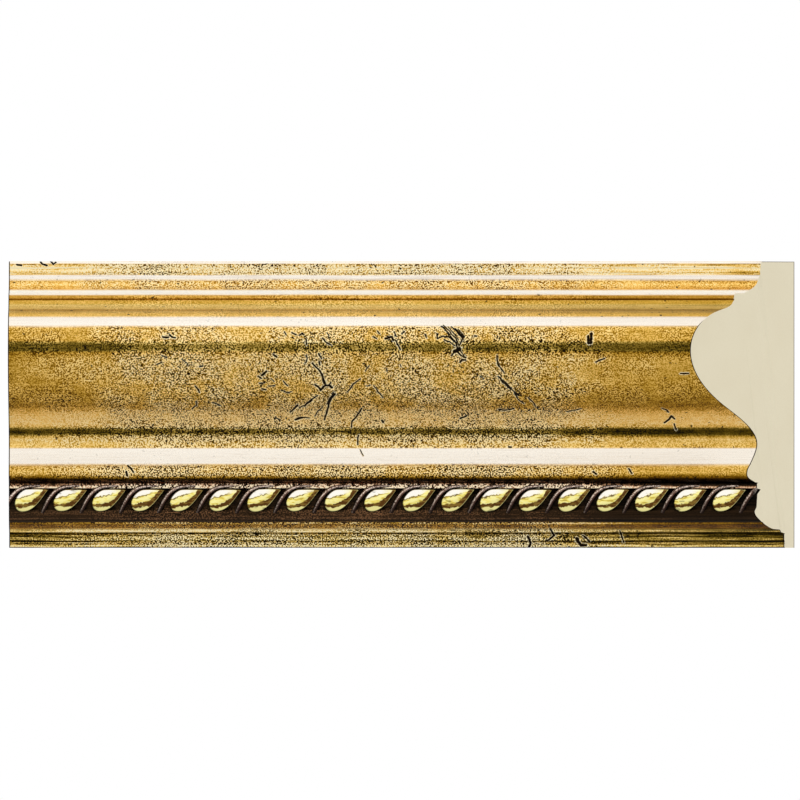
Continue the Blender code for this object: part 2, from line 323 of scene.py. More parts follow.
# The rope ornament
BEAD_COUNT = 19
BEAD_PITCH = 8.114
FIRST_BEAD = -77.9
ROPE_HEIGHT = 10.03
BEAD_HALF_LENGTH = 3.4
BEAD_HALF_HEIGHT = 2.27
BEAD_FOOT = 7.0
BEAD_RIM = 9.5
BEAD_CREST = 10.15
BEAD_CREST_SHIFT = (0.15, 0.3)
BEAD_CREST_WANDER = (0.15, 0.1)
BEAD_SIZE_SPREAD = (0.97, 1.03)
BEAD_RISE_SPREAD = (0.85, 1)
BEAD_BEVEL = 0.15
BEAD_TOP_SHARE = 0.975
BEAD_RIM_GLAZE = 0.55
BEAD_STEPS = 14
BEAD_RINGS = 16
STRAND_RADIUS = 0.58
STRAND_SIDES = 16
STRAND_STEPS = 5
STRAND_WANDER = 0.08
STRAND_LIT_TURN = math.radians(120)

# Centre line of one strand, from its foot: (along the strip from the next bead's centre, height
# above the rope's middle, projection). It leans over the channel and runs out along the border.
STRAND_LINE = (
    (-5.45, -2.6, 8.2), (-4.9, -1.4, 8.7), (-4.25, -0.2, 8.95), (-3.5, 0.9, 8.9), (-2.6, 1.85, 8.6),
    (-1.3, 2.55, 8.2), (0.4, 2.85, 7.95), (2.3, 2.95, 7.75),
)

# Outline of one bead seen from the front, as shares of its half length and half height, with the
# handles of the round runs that reach each point.
BEAD_OUTLINE = (
    (1.14, 0.96),
    (-0.2, 1, (-0.4, 0.08), (0.35, 0.05)),
    (-0.92, -0.3, (-0.35, -0.1), (0, 0.5)),
    (-0.45, -1.06, (0, -0.45), (-0.3, 0)),
    (1.14, 0.96, (0.75, 0), (-0.4, -0.75)),
)

# Finishes, as linear colours
LEAF_TONES = (
    (0.0, (0.012, 0.004, 0.0)), (0.2, (0.13, 0.055, 0.001)), (0.4, (0.34, 0.17, 0.008)),
    (0.6, (0.60, 0.345, 0.045)), (0.8, (0.85, 0.52, 0.125)), (1.0, (1.00, 0.70, 0.24)),
)
WARM_TONES = (
    (0.0, (0.010, 0.002, 0.0)), (0.2, (0.13, 0.045, 0.002)), (0.4, (0.36, 0.165, 0.01)),
    (0.6, (0.64, 0.335, 0.05)), (0.8, (0.90, 0.51, 0.105)), (1.0, (1.00, 0.69, 0.22)),
)
OLIVE_TONES = (
    (0.0, (0.006, 0.004, 0.0)), (0.2, (0.10, 0.060, 0.003)), (0.4, (0.27, 0.175, 0.025)),
    (0.6, (0.52, 0.34, 0.07)), (0.8, (0.82, 0.57, 0.17)), (1.0, (1.00, 0.77, 0.30)),
)
MAUVE_TONES = (
    (0.0, (0.002, 0.001, 0.0)), (0.25, (0.034, 0.018, 0.008)), (0.5, (0.27, 0.13, 0.058)),
    (0.75, (0.75, 0.46, 0.27)), (1.0, (1.00, 0.79, 0.54)),
)
# Painted highlight of the burnished bands: pale leaf, a paler one where it is matt, and a dulled one
LEAF_PALE = (0.97, 0.90, 0.79, 1.0)
LEAF_MATT_HIGHLIGHT = (1.00, 0.98, 0.92, 1.0)
LEAF_DULL = (0.80, 0.70, 0.58, 1.0)
# Painted glint where the tone runs above 1 and along both sides of each crack
LEAF_PAINTED_GLINT = (1.00, 0.90, 0.60, 1.0)
GLAZE_BLACK = (0.006, 0.003, 0.001, 1.0)
# Beads: a painted highlight on top, a dark band low down of painted reflection and shade, and pale leaf
# painted on the foot and rim as reflection
BEAD_TOP_HIGHLIGHT = (1.00, 0.96, 0.86, 1.0)
BEAD_CREAM = (0.99, 0.91, 0.37, 1.0)
BEAD_YELLOW = (0.92, 0.75, 0.14, 1.0)
BEAD_DEEP = (0.30, 0.18, 0.035, 1.0)
BEAD_BAND_SHADE = (0.115, 0.048, 0.010, 1.0)
# Strands: dark under the glaze and as painted shade on the side turned from the light, maroon towards the
# light, and a pale painted highlight on the lit crest
STRAND_DARK = (0.010, 0.005, 0.004, 1.0)
STRAND_MAROON = (0.15, 0.070, 0.045, 1.0)
STRAND_HIGHLIGHT = (0.98, 0.80, 0.66, 1.0)
CORE = (0.80, 0.73, 0.54, 1.0)
CORE_DARK = (0.75, 0.67, 0.48, 1.0)
CORE_WORN = (0.62, 0.54, 0.38, 1.0)
CORE_EDGE = (0.33, 0.30, 0.26, 1.0)
FLOOR_COLOURS = ((0.80, 0.79, 0.78, 1.0), (0.84, 0.83, 0.82, 1.0))

# How far each kind of wear moves the tone: streaks on plain and on streaked members, smudges,
# clouds, and grit on dark glaze and on bright leaf. MATT_STRENGTH takes the metal out of matt leaf.
STREAK_GAINS = (0.4, 2.2)
SMUDGE_GAIN = 0.45
CLOUD_GAIN = 0.4
GRIT_GAINS = (0.22, 0.64)
MATT_STRENGTH = 0.7

# The studio, in metres: the camera stands far off, so that the front is seen almost without
# perspective, as in the photograph.
VIEW_WIDTH = 0.1675
VIEW_CENTRE = Vector((-0.0004, -0.008, 0.00098))
LENS = 1200.0
SENSOR = 36.0
FLOOR_HEIGHT = -0.13
FLOOR_RADIUS = 2.4
SOFTBOX_PLACE = (-0.15, -0.35, 1.1)
SOFTBOX_SIZE = (0.9, 0.5)
SOFTBOX_POWER = 0.15


def member_length(start, end, handles):
    """Length of one member's line, close enough to share out its rows."""
    if not handles:
        return math.dist(start, end)
    first = Vector(start) + Vector(handles[0])
    last = Vector(end) + Vector(handles[1])
    return math.dist(start, first) + math.dist(first, last) + math.dist(last, end)


def bend_points(start, end, handles, steps):
    """Points along one member after its start."""
    if not handles:
        return [Vector(start).lerp(Vector(end), (i + 1) / steps) for i in range(steps)]
    first = Vector(start) + Vector(handles[0])
    last = Vector(end) + Vector(handles[1])
    return geometry.interpolate_bezier(Vector(start), first, last, Vector(end), steps + 1)[1:]


def face_rows():
    """(projection, height) of every row of the face, from the top edge down."""
    rows = [Vector(PROFILE[0])]
    for before, (x, y, *handles) in zip(PROFILE, PROFILE[1:]):
        start, end = before[:2], (x, y)
        steps = math.ceil(member_length(start, end, handles) / ROW_SPACING)
        rows.extend(bend_points(start, end, handles, max(MEMBER_ROWS, steps)))
    return rows


def place(share, projection, height):
    """World point at a share of the strip's length there: the right end is mitred."""
    reach = BACK_LENGTH - projection * MM
    return Vector((LEFT_END + share * reach, -projection * MM, LOWER_EDGE + height * MM))


def skin(solid, rings):
    """Quads between each closed ring of points and the next."""
    for ring, following in zip(rings, rings[1:]):
        for i in range(len(ring)):
            j = (i + 1) % len(ring)
            solid.faces.new((ring[i], ring[j], following[j], following[i]))


def to_mesh(solid, name):
    """The mesh of a built form, which is let go."""
    mesh = bpy.data.meshes.new(name)
    solid.to_mesh(mesh)
    solid.free()
    return mesh


def smooth(mesh, sharp_angle):
    """Smooth shading, with the edges sharper than the angle, in degrees, left sharp."""
    mesh.shade_smooth()
    mesh.set_sharp_from_angle(angle=math.radians(sharp_angle))


def add_object(name, data, *materials):
    """Puts a mesh, a light or a camera in the scene."""
    obj = bpy.data.objects.new(name, data)
    bpy.context.scene.collection.objects.link(obj)
    for material in materials:
        obj.data.materials.append(material)
    return obj


def dress(obj):
    """Ties a piece to the model's root body and hides the CAD part that it stands for."""
    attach(obj, "root")
    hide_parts("moulding")


# The strip

def closed_strip(rows):
    """The face, sides and back as a ring of rows, with a flat cap on each end."""
    strip = bmesh.new()
    back_top = Vector((0.0, FACE_HEIGHT))
    back_foot = Vector((0.0, 0.0))
    ring = [back_top, back_top.lerp(rows[0], 0.5)] + rows + [rows[-1].lerp(back_foot, 0.5), back_foot]
    edge = END_EDGE * MM / BACK_LENGTH
    shares = [step / COLUMNS for step in range(COLUMNS + 1)]
    shares[1:1] = [edge]
    shares[-1:-1] = [1.0 - edge]
    columns = [[strip.verts.new(place(share, *point)) for point in ring] for share in shares]
    skin(strip, columns)
    strip.faces.new(reversed(columns[0])).material_index = CUT_SLOT
    strip.faces.new(columns[-1]).material_index = CUT_SLOT
    return strip


def run_distance(points, start, end):
    """Distance of each point from a straight run."""
    start = np.array(start)
    run = np.array(end) - start
    share = np.clip((points - start) @ run / (run @ run), 0.0, 1.0)
    return np.linalg.norm(points - start - share[:, None] * run, axis=1)


def chip_lines():
    """Short seeded strokes, crowded round the chipped places."""
    draw = random.Random(3)
    lines = []
    for along, height, spread, rise, count in CHIPPED:
        for _ in range(count):
            start = Vector((draw.gauss(along, spread / 2), draw.gauss(height, rise / 2)))
            turn = math.radians(CHIP_SLOPE + draw.gauss(0.0, CHIP_SLOPE_SPREAD))
            end = start + draw.uniform(*CHIP_LENGTH) * Vector((math.cos(turn), math.sin(turn)))
            lines.append((draw.uniform(*CHIP_WIDTH), start, end))
    return lines


CHIPS = tuple(chip_lines())


def crack_distance(points):
    """Distance of each point from the edge of the nearest crack or chip."""
    nearest = np.full(len(points), 1e3)
    for width, *path in CRACKS + CHIPS:
        for start, end in zip(path, path[1:]):
            nearest = np.minimum(nearest, run_distance(points, start, end) - width)
    return nearest


def flaw_depth(points, flaws):
    """How deep in a flaw each point lies, from 0 to 1."""
    depth = np.zeros(len(points))
    for width, *path in flaws:
        for start, end in zip(path, path[1:]):
            share = run_distance(points, start, end) / width
            depth = np.maximum(depth, np.exp(-share ** 2))
    return depth


def refine_near_cracks(strip):
    """Halves the quads of the face round the cracks, and those close by them once more."""
    for reach in REFINE_REACHES:
        strip.normal_update()
        faces = [face for face in strip.faces if face.material_index == GILT_SLOT and face.normal.y < 0.5]
        centres = np.array([face.calc_center_median() for face in faces])
        points = np.stack((centres[:, 0] / MM, (centres[:, 2] - LOWER_EDGE) / MM), axis=1)
        near = np.nonzero(crack_distance(points) < reach)[0]
        edges = {edge for i in near for edge in faces[i].edges}
        bmesh.ops.subdivide_edges(strip, edges=list(edges), cuts=1, use_grid_fill=True)


def band_share(heights, bands):
    """1 inside the bands of height, 0 outside, with a soft edge."""
    share = np.zeros(len(heights))
    for low, high in bands:
        inside = np.minimum(heights - low, high - heights) / BAND_EDGE + 0.5
        share = np.maximum(share, np.clip(inside, 0.0, 1.0))
    return share


def wander(points, scale, stretch, seed):
    """Smooth noise from -1 to 1 at each point, drawn out along the strip."""
    return np.array([
        noise.noise(Vector((along / scale / stretch, height / scale, seed))) for along, height in points
    ])


def face_tilt(rows, heights):
    """How far the face looks up at each height, in radians: 0 looks straight out."""
    middles = [(a + b) / 2 for a, b in zip(rows, rows[1:])]
    tilts = [math.atan2(b.x - a.x, a.y - b.y) for a, b in zip(rows, rows[1:])]
    order = np.argsort([middle.y for middle in middles])
    known = np.array([middles[i].y for i in order])
    return np.interp(heights, known, np.array([tilts[i] for i in order]))


def bruised_edge(shares, heights):
    """1 on the two cut edges of the face, falling to 0 a little way in; the mitre's top is clean."""
    left = np.clip(1.0 - shares * BACK_LENGTH / MM / END_EDGE, 0.0, 1.0)
    right = np.clip(1.0 - (1.0 - shares) * BACK_LENGTH / MM / END_EDGE, 0.0, 1.0)
    return np.maximum(left, right * np.interp(heights, *zip(*MITRE_BRUISE)))


def along_strip(along, stops):
    """The value at each distance along the strip, between its (distance, value) stops."""
    return np.interp(along, *zip(*stops))


def wear_drift(points):
    """How much brighter or duller than its member each place is."""
    along, heights = points[:, 0], points[:, 1]
    change = np.where(heights > LIP_TOP, along_strip(along, FACE_DRIFT), along_strip(along, LIP_DRIFT))
    change = change + band_share(heights, BORDER) * along_strip(along, BORDER_DRIFT)
    change = change + band_share(heights, LIP_LINE) * along_strip(along, LIP_LINE_DRIFT)
    for middle, height, spread, rise, stain in STAINS:
        reach = ((along - middle) / spread) ** 2 + ((heights - height) / rise) ** 2
        change = change + stain * np.exp(-reach)
    return change


def flaw_depths(points, on_face):
    """How deep in a crack and in a chip each point of the face lies, on a wobbling course."""
    wobble = [wander(points, scale=FLAW_WOBBLE_SCALE, stretch=1.0, seed=seed) for seed in (3.0, 8.0)]
    places = points + FLAW_WOBBLE * np.stack(wobble, axis=1)
    return flaw_depth(places, CRACKS) * on_face, flaw_depth(places, CHIPS) * on_face


def relief_depth(points, cracks, chips):
    """How far the flaws, the shallow waves and the worn reeds sink the face at each point."""
    waves = wander(points, scale=6.0, stretch=3.0, seed=1.0)
    reeds = wander(points, scale=0.35, stretch=40.0, seed=5.0)
    flaws = CRACK_DEPTH * np.maximum(cracks, CHIP_DEPTH_SHARE * chips)
    depth = flaws + RELIEF_WAVE * (0.5 + 0.5 * waves)
    return depth + REED_WEAR * band_share(points[:, 1], STREAKED) * (0.5 + 0.5 * reeds)


def finish_marks(points, shares, cracks, chips):
    """The tone of the leaf at each point, and how much of each finish lies there."""
    along, heights = points[:, 0], points[:, 1]
    drift = heights + BAND_WANDER * wander(points, scale=2.0, stretch=8.0, seed=2.0)
    tone_heights, tones = zip(*reversed(TONE))
    # Bands of painted highlight on the burnished members
    burnish_and_highlight = band_share(drift, BURNISHED_HIGHLIGHTS)
    mauve = band_share(drift, MAUVE)
    calm = np.maximum(burnish_and_highlight, 0.8 * band_share(drift, CALM))
    lively = along_strip(along, LIVELY)
    rough = ROUGH_GAIN * band_share(drift, ROUGHLY_WORN) * np.interp(lively, (0.4, 0.8), (0.0, 1.0))
    return {
        "tone": np.interp(drift, tone_heights, tones) + wear_drift(points),
        "grit": (1.0 - 0.9 * calm) * (1.0 + rough) * lively,
        "burnish_and_highlight": burnish_and_highlight,
        "matt": band_share(drift, MATT),
        "even": 1.0 - 0.8 * np.maximum(calm, mauve),
        "streaked": band_share(heights, STREAKED),
        "warm": band_share(drift, WARM),
        "olive": band_share(drift, OLIVE),
        "mauve": mauve,
        "crack": cracks,
        "chip": np.maximum(chips, bruised_edge(shares, heights)),
    }


def finish_strip(mesh, rows):
    """Sinks the cracks and the fine relief into the face, and marks where each finish lies."""
    spots = np.empty(len(mesh.vertices) * 3)
    mesh.vertices.foreach_get("co", spots)
    spots = spots.reshape(-1, 3)
    projections = -spots[:, 1] / MM
    heights = (spots[:, 2] - LOWER_EDGE) / MM
    shares = (spots[:, 0] - LEFT_END) / (BACK_LENGTH - projections * MM)
    points = np.stack((spots[:, 0] / MM, heights), axis=1)
    front = np.interp(heights, [row.y for row in reversed(rows)], [row.x for row in reversed(rows)])
    on_face = (projections > front - FACE_SLACK) & (projections > SIDE_REACH)
    cracks, chips = flaw_depths(points, on_face)

    depth = np.where(on_face, relief_depth(points, cracks, chips), 0.0)
    tilt = face_tilt(rows, heights)
    inside = (np.abs(heights - FACE_HEIGHT) > EDGE_SLACK) * (heights > EDGE_SLACK)
    projections = projections - depth * np.cos(tilt)
    spots[:, 1] = -projections * MM
    spots[:, 2] -= depth * np.sin(tilt) * MM * inside
    spots[:, 0] = LEFT_END + shares * (BACK_LENGTH - projections * MM)
    mesh.vertices.foreach_set("co", spots.ravel())

    for name, values in finish_marks(points, shares, cracks, chips).items():
        layer = mesh.attributes.new(name, "FLOAT", "POINT")
        layer.data.foreach_set("value", values.astype(np.float32))
    mesh.update()


def make_strip(gilt, cut, back):
    rows = face_rows()
    strip = closed_strip(rows)
    bmesh.ops.recalc_face_normals(strip, faces=strip.faces)
    for face in strip.faces:
        if face.normal.y > 0.9:
            face.material_index = BACK_SLOT
    refine_near_cracks(strip)
    mesh = to_mesh(strip, "moulding_body")
    finish_strip(mesh, rows)
    smooth(mesh, 50)
    return add_object("moulding_body", mesh, gilt, cut, back)


# The rope

def outline_points(members, steps):
    """A closed outline's points, each member cut into the same number of steps."""
    points = []
    for before, (x, y, *handles) in zip(members, members[1:]):
        points.extend(bend_points(before[:2], (x, y), handles, steps))
    return points


def bead_rings(rise):
    """(share of the outline, projection, glaze) of each ring, from the foot to near the crest."""
    rings = [(1.0, BEAD_FOOT, 1.0), (1.0, BEAD_RIM - BEAD_BEVEL, 1.0)]
    for ring in range(BEAD_RINGS):
        share = 1.0 - ring / BEAD_RINGS
        glaze = BEAD_RIM_GLAZE if ring == 0 else 0.0
        rings.append((BEAD_TOP_SHARE * share, BEAD_RIM + rise * (1.0 - share ** 2), glaze))
    return rings


def bead_vertex(rope, marks, middle, spot, lift, glaze, share):
    """A point of a bead at its spot from the bead's middle, with its marks."""
    height = LOWER_EDGE + (ROPE_HEIGHT + spot.y) * MM
    vertex = rope.verts.new(((middle + spot.x) * MM, -lift * MM, height))
    vertex[marks["glaze"]] = glaze
    vertex[marks["along"]] = spot.x
    vertex[marks["across"]] = spot.y
    vertex[marks["rim"]] = share
    return vertex


def add_bead(rope, marks, middle, draw):
    """One polished bead: a low dome on a steep dark rim that stands in the channel."""
    length = BEAD_HALF_LENGTH * draw.uniform(*BEAD_SIZE_SPREAD)
    height = BEAD_HALF_HEIGHT * draw.uniform(*BEAD_SIZE_SPREAD)
    outline = [Vector((x * length, y * height)) for x, y in outline_points(BEAD_OUTLINE, BEAD_STEPS)]
    crest = Vector(BEAD_CREST_SHIFT) + Vector([draw.uniform(-reach, reach) for reach in BEAD_CREST_WANDER])
    rise = (BEAD_CREST - BEAD_RIM) * draw.uniform(*BEAD_RISE_SPREAD)
    rings = []
    for share, lift, glaze in bead_rings(rise):
        spots = [point * share + crest * (1.0 - share) for point in outline]
        rings.append([bead_vertex(rope, marks, middle, spot, lift, glaze, share) for spot in spots])
    top = bead_vertex(rope, marks, middle, crest, BEAD_RIM + rise, 0.0, 0.0)
    rope.faces.new(rings[0])
    skin(rope, rings)
    last = rings[-1]
    for start, end in zip(last, last[1:] + last[:1]):
        rope.faces.new((start, end, top))


def make_beads(material):
    draw = random.Random(5)
    rope = bmesh.new()
    marks = {name: rope.verts.layers.float.new(name) for name in ("glaze", "along", "across", "rim")}
    for i in range(BEAD_COUNT):
        add_bead(rope, marks, FIRST_BEAD + i * BEAD_PITCH, draw)
    bmesh.ops.recalc_face_normals(rope, faces=rope.faces)
    mesh = to_mesh(rope, "rope_beads")
    smooth(mesh, 50)
    return add_object("rope_beads", mesh, material)


def smooth_line(points, steps):
    """Points on one smooth line through the given points."""
    ends = [points[0]] + list(points) + [points[-1]]
    line = []
    for before, start, end, after in zip(ends, ends[1:], ends[2:], ends[3:]):
        for step in range(steps):
            t = step / steps
            line.append(0.5 * (
                2 * start + t * (end - before) + t ** 2 * (2 * before - 5 * start + 4 * end - after)
                + t ** 3 * (3 * start - before - 3 * end + after)
            ))
    line.append(points[-1])
    return line


def strand_ring(rope, marks, centre, ahead, share):
    """A ring of points round the strand's line, marked with how far up the strand it lies, for its painted
    top light and rub, and how far it faces the light, for its painted highlight.
    """
    side = Vector((0.0, 1.0, 0.0)).cross(ahead).normalized()
    out = ahead.cross(side).normalized()
    radius = STRAND_RADIUS * (0.75 + 0.5 * share - 0.85 * share ** 3)
    ring = []
    for turn in range(STRAND_SIDES):
        angle = math.tau * turn / STRAND_SIDES
        spot = centre + radius * (math.cos(angle) * side + math.sin(angle) * out)
        vertex = rope.verts.new((spot.x * MM, -spot.y * MM, LOWER_EDGE + spot.z * MM))
        vertex[marks["rubbed_and_toplit"]] = share
        vertex[marks["crest"]] = max(0.0, math.cos(angle - STRAND_LIT_TURN))
        ring.append(vertex)
    return ring


def add_strand(rope, marks, middle, draw):
    """One strand beside the bead at middle, thinning towards its tail."""
    shift = Vector((middle + draw.uniform(-STRAND_WANDER, STRAND_WANDER), 0.0, ROPE_HEIGHT))
    path = smooth_line([Vector((x, y, z)) + shift for x, z, y in STRAND_LINE], STRAND_STEPS)
    last = len(path) - 1
    rings = []
    for step, centre in enumerate(path):
        ahead = path[min(step + 1, last)] - path[max(step - 1, 0)]
        rings.append(strand_ring(rope, marks, centre, ahead, step / last))
    skin(rope, rings)
    rope.faces.new(rings[0])
    rope.faces.new(rings[-1])


def trim(rope, point, outward):
    """Cuts the rope off flat at an end of the strip and closes the cut."""
    everything = rope.verts[:] + rope.edges[:] + rope.faces[:]
    cut = bmesh.ops.bisect_plane(rope, geom=everything, plane_co=point, plane_no=outward, clear_outer=True)
    rim = [item for item in cut["geom_cut"] if isinstance(item, bmesh.types.BMEdge)]
    bmesh.ops.holes_fill(rope, edges=rim)


def make_strands(material):
    draw = random.Random(9)
    rope = bmesh.new()
    marks = {name: rope.verts.layers.float.new(name) for name in ("rubbed_and_toplit", "crest")}
    for i in range(BEAD_COUNT + 1):
        add_strand(rope, marks, FIRST_BEAD + i * BEAD_PITCH, draw)
    bmesh.ops.recalc_face_normals(rope, faces=rope.faces)
    trim(rope, (LEFT_END, 0.0, 0.0), (-1.0, 0.0, 0.0))
    trim(rope, (RIGHT_END, 0.0, 0.0), (math.sqrt(0.5), -math.sqrt(0.5), 0.0))
    mesh = to_mesh(rope, "rope_strands")
    smooth(mesh, 60)
    return add_object("rope_strands", mesh, material)


# Shader helpers

def new_material(name):
    material = bpy.data.materials.new(name)
    material.use_nodes = True
    tree = material.node_tree
    return material, tree, tree.nodes["Principled BSDF"]


def feed(tree, socket, value):
    """Sets a socket to a plain value, or links it to another node's output."""
    if isinstance(value, bpy.types.NodeSocket):
        tree.links.new(value, socket)
    else:
        socket.default_value = value


def calculate(tree, operation, first, second=0.0, clamp=False):
    node = tree.nodes.new("ShaderNodeMath")
    node.operation = operation
    node.use_clamp = clamp
    feed(tree, node.inputs[0], first)
    feed(tree, node.inputs[1], second)
    return node.outputs[0]


def plus(tree, first, second):
    return calculate(tree, "ADD", first, second)


def minus(tree, first, second):
    return calculate(tree, "SUBTRACT", first, second)


def times(tree, first, second):
    return calculate(tree, "MULTIPLY", first, second)


def larger(tree, first, second):
    return calculate(tree, "MAXIMUM", first, second)


def scaled(tree, value, middle, gain):
    """How far a value lies from its middle, times a gain."""
    return times(tree, minus(tree, value, middle), gain)


def remap(tree, value, low, high, to_low=0.0, to_high=1.0):
    """Carries a value from one range over to another, and holds it inside that."""
    node = tree.nodes.new("ShaderNodeMapRange")
    for socket, item in zip(node.inputs, (value, low, high, to_low, to_high)):
        feed(tree, socket, item)
    return node.outputs[0]


def mix_colours(tree, share, first, second):
    node = tree.nodes.new("ShaderNodeMix")
    node.data_type = "RGBA"
    feed(tree, node.inputs[0], share)
    feed(tree, node.inputs[6], first)
    feed(tree, node.inputs[7], second)
    return node.outputs[2]


def colour_ramp(tree, value, stops):
    """The colour at a value, read from a list of (position, colour)."""
    node = tree.nodes.new("ShaderNodeValToRGB")
    feed(tree, node.inputs[0], value)
    elements = node.color_ramp.elements
    for i, (position, colour) in enumerate(stops):
        stop = elements[i] if i < 2 else elements.new(position)
        stop.position = position
        stop.color = (*colour, 1.0)
    return node.outputs[0]


def grain(tree, vector, scale, detail=2.0, roughness=0.5):
    """Soft noise from 0 to 1, mostly near its middle."""
    node = tree.nodes.new("ShaderNodeTexNoise")
    feed(tree, node.inputs["Vector"], vector)
    node.inputs["Scale"].default_value = scale
    node.inputs["Detail"].default_value = detail
    node.inputs["Roughness"].default_value = roughness
    return node.outputs[0]


def in_millimetres(tree, stretch=1.0):
    """Object coordinates in millimetres, drawn out along the strip."""
    spot = tree.nodes.new("ShaderNodeTexCoord").outputs["Object"]
    node = tree.nodes.new("ShaderNodeVectorMath")
    node.operation = "MULTIPLY"
    feed(tree, node.inputs[0], spot)
    node.inputs[1].default_value = (1.0 / MM / stretch, 1.0 / MM, 1.0 / MM)
    return node.outputs[0]


def mark(tree, name):
    """A finish marked on the mesh, from 0 to 1."""
    node = tree.nodes.new("ShaderNodeAttribute")
    node.attribute_name = name
    return node.outputs["Fac"]


def bump(tree, shader, height, distance):
    node = tree.nodes.new("ShaderNodeBump")
    node.inputs["Distance"].default_value = distance
    feed(tree, node.inputs["Height"], height)
    tree.links.new(node.outputs[0], shader.inputs["Normal"])


# Materials

def leaf_grit(tree, spot):
    """Fine grit from -1 to 1, crowded in some places and strong where it is marked."""
    fine = remap(tree, grain(tree, spot, scale=3.7, detail=0.0), 0.38, 0.62, -1.0, 1.0)
    crowd = remap(tree, grain(tree, spot, scale=0.16, detail=3.0, roughness=0.6), 0.38, 0.62, 0.5, 1.25)
    return times(tree, times(tree, fine, crowd), mark(tree, "grit"))


def leaf_tone(tree, spot, grit, lines):
    """How bright the worn leaf is: its member's tone, with streaks, smudges, clouds and grit."""
    tone = mark(tree, "tone")
    streaks = scaled(tree, lines, 0.5, remap(tree, mark(tree, "streaked"), 0.0, 1.0, *STREAK_GAINS))
    smudges = scaled(tree, grain(tree, spot, scale=0.3, detail=4.0, roughness=0.65), 0.5, SMUDGE_GAIN)
    clouds = scaled(tree, grain(tree, in_millimetres(tree, 2.0), scale=0.07), 0.5, CLOUD_GAIN)
    uneven = times(tree, plus(tree, smudges, clouds), mark(tree, "even"))
    worn = plus(tree, plus(tree, tone, streaks), uneven)
    return plus(tree, worn, times(tree, grit, remap(tree, tone, 0.12, 0.5, *GRIT_GAINS)))


def burnished_highlight_colour(tree, tone, lines):
    """Painted highlight on burnished leaf: pale, dulled along its lines and where it is dark, and paler
    where it is matt.
    """
    polished = mix_colours(tree, remap(tree, lines, 0.56, 0.72, 0.0, 0.6), LEAF_PALE, LEAF_DULL)
    polished = mix_colours(tree, remap(tree, tone, 0.5, 0.85, 0.7, 0.0), polished, LEAF_DULL)
    return mix_colours(tree, mark(tree, "matt"), polished, LEAF_MATT_HIGHLIGHT)


def leaf_colour(tree, tone, lines):
    """The colour of leaf and glaze together at a tone, in the hue of its member, with painted highlight
    where the tone runs above 1 and on the burnished bands.
    """
    leaf = colour_ramp(tree, tone, LEAF_TONES)
    for name, tones in (("warm", WARM_TONES), ("olive", OLIVE_TONES), ("mauve", MAUVE_TONES)):
        leaf = mix_colours(tree, mark(tree, name), leaf, colour_ramp(tree, tone, tones))
    # Painted highlight where the tone runs above 1, the more on the streaked members
    share = remap(tree, mark(tree, "streaked"), 0.0, 1.0, 0.6, 1.0)
    gleam = times(tree, remap(tree, tone, 1.0, 1.25, 0.0, 0.8), share)
    leaf = mix_colours(tree, gleam, leaf, LEAF_PAINTED_GLINT)
    return mix_colours(tree, mark(tree, "burnish_and_highlight"), leaf, burnished_highlight_colour(tree, tone, lines))


def leaf_chips(tree, spot):
    """Small dark chips, thicker in some places than in others and few on the burnished highlight bands."""
    crowd = remap(tree, grain(tree, spot, scale=0.35, detail=3.0, roughness=0.6), 0.35, 0.7, 0.24, 0.37)
    chips = minus(tree, crowd, grain(tree, spot, scale=1.1))
    share = remap(tree, mark(tree, "burnish_and_highlight"), 0.0, 1.0, 0.9, 0.15)
    return times(tree, remap(tree, chips, 0.0, 0.03), share)


def dark_flaws(tree, spot):
    """1 in the chips and cracks, where the dark ground shows."""
    cracked = remap(tree, mark(tree, "crack"), 0.13, 0.32)
    chipped = remap(tree, mark(tree, "chip"), 0.2, 0.42)
    return larger(tree, leaf_chips(tree, spot), larger(tree, cracked, chipped))


def crack_edge_glints(tree):
    """1 along both sides of a crack, where a painted glint stands for lifted leaf catching the light."""
    crack = mark(tree, "crack")
    return times(tree, remap(tree, crack, 0.012, 0.05), remap(tree, crack, 0.08, 0.14, 0.85, 0.0))


def gilt_material():
    """Old leaf under a brown glaze, with grit, streaks, chips and cracks, bands of painted highlight, and
    painted glints where the tone is brightest and along the crack edges.
    """
    material, tree, shader = new_material("antique_gilt_leaf")
    spot = in_millimetres(tree)
    lines = grain(tree, in_millimetres(tree, 40.0), scale=3.2, roughness=0.6)
    grit = leaf_grit(tree, spot)
    tone = leaf_tone(tree, spot, grit, lines)
    dark = dark_flaws(tree, spot)
    colour = mix_colours(tree, crack_edge_glints(tree), leaf_colour(tree, tone, lines), LEAF_PAINTED_GLINT)
    feed(tree, shader.inputs["Base Color"], mix_colours(tree, dark, colour, GLAZE_BLACK))

    worn = calculate(tree, "SUBTRACT", tone, dark, clamp=True)
    matt = times(tree, mark(tree, "matt"), MATT_STRENGTH)
    polish = times(tree, mark(tree, "burnish_and_highlight"), 0.08)
    surface = plus(tree, times(tree, grit, 0.15), times(tree, lines, 0.6))
    feed(tree, shader.inputs["Metallic"], minus(tree, remap(tree, worn, 0.0, 0.3, 0.85, 0.97), matt))
    feed(tree, shader.inputs["Roughness"], minus(tree, remap(tree, worn, 0.0, 0.8, 0.4, 0.28), polish))
    shader.inputs["Specular IOR Level"].default_value = 0.2
    bump(tree, shader, surface, 0.03 * MM)
    return material


def bead_leaf(tree, veins, upper, along):
    """Cream leaf with yellow and deep veins, and a painted highlight along its top that fades to the
    right.
    """
    leaf = mix_colours(tree, remap(tree, veins, 0.45, 0.62), BEAD_CREAM, BEAD_YELLOW)
    leaf = mix_colours(tree, remap(tree, veins, 0.6, 0.68, 0.0, 0.55), leaf, BEAD_DEEP)
    pale = times(tree, remap(tree, upper, 0.9, 1.3), remap(tree, along, 0.6, 3.0, 1.0, 0.2))
    return mix_colours(tree, pale, leaf, BEAD_TOP_HIGHLIGHT)


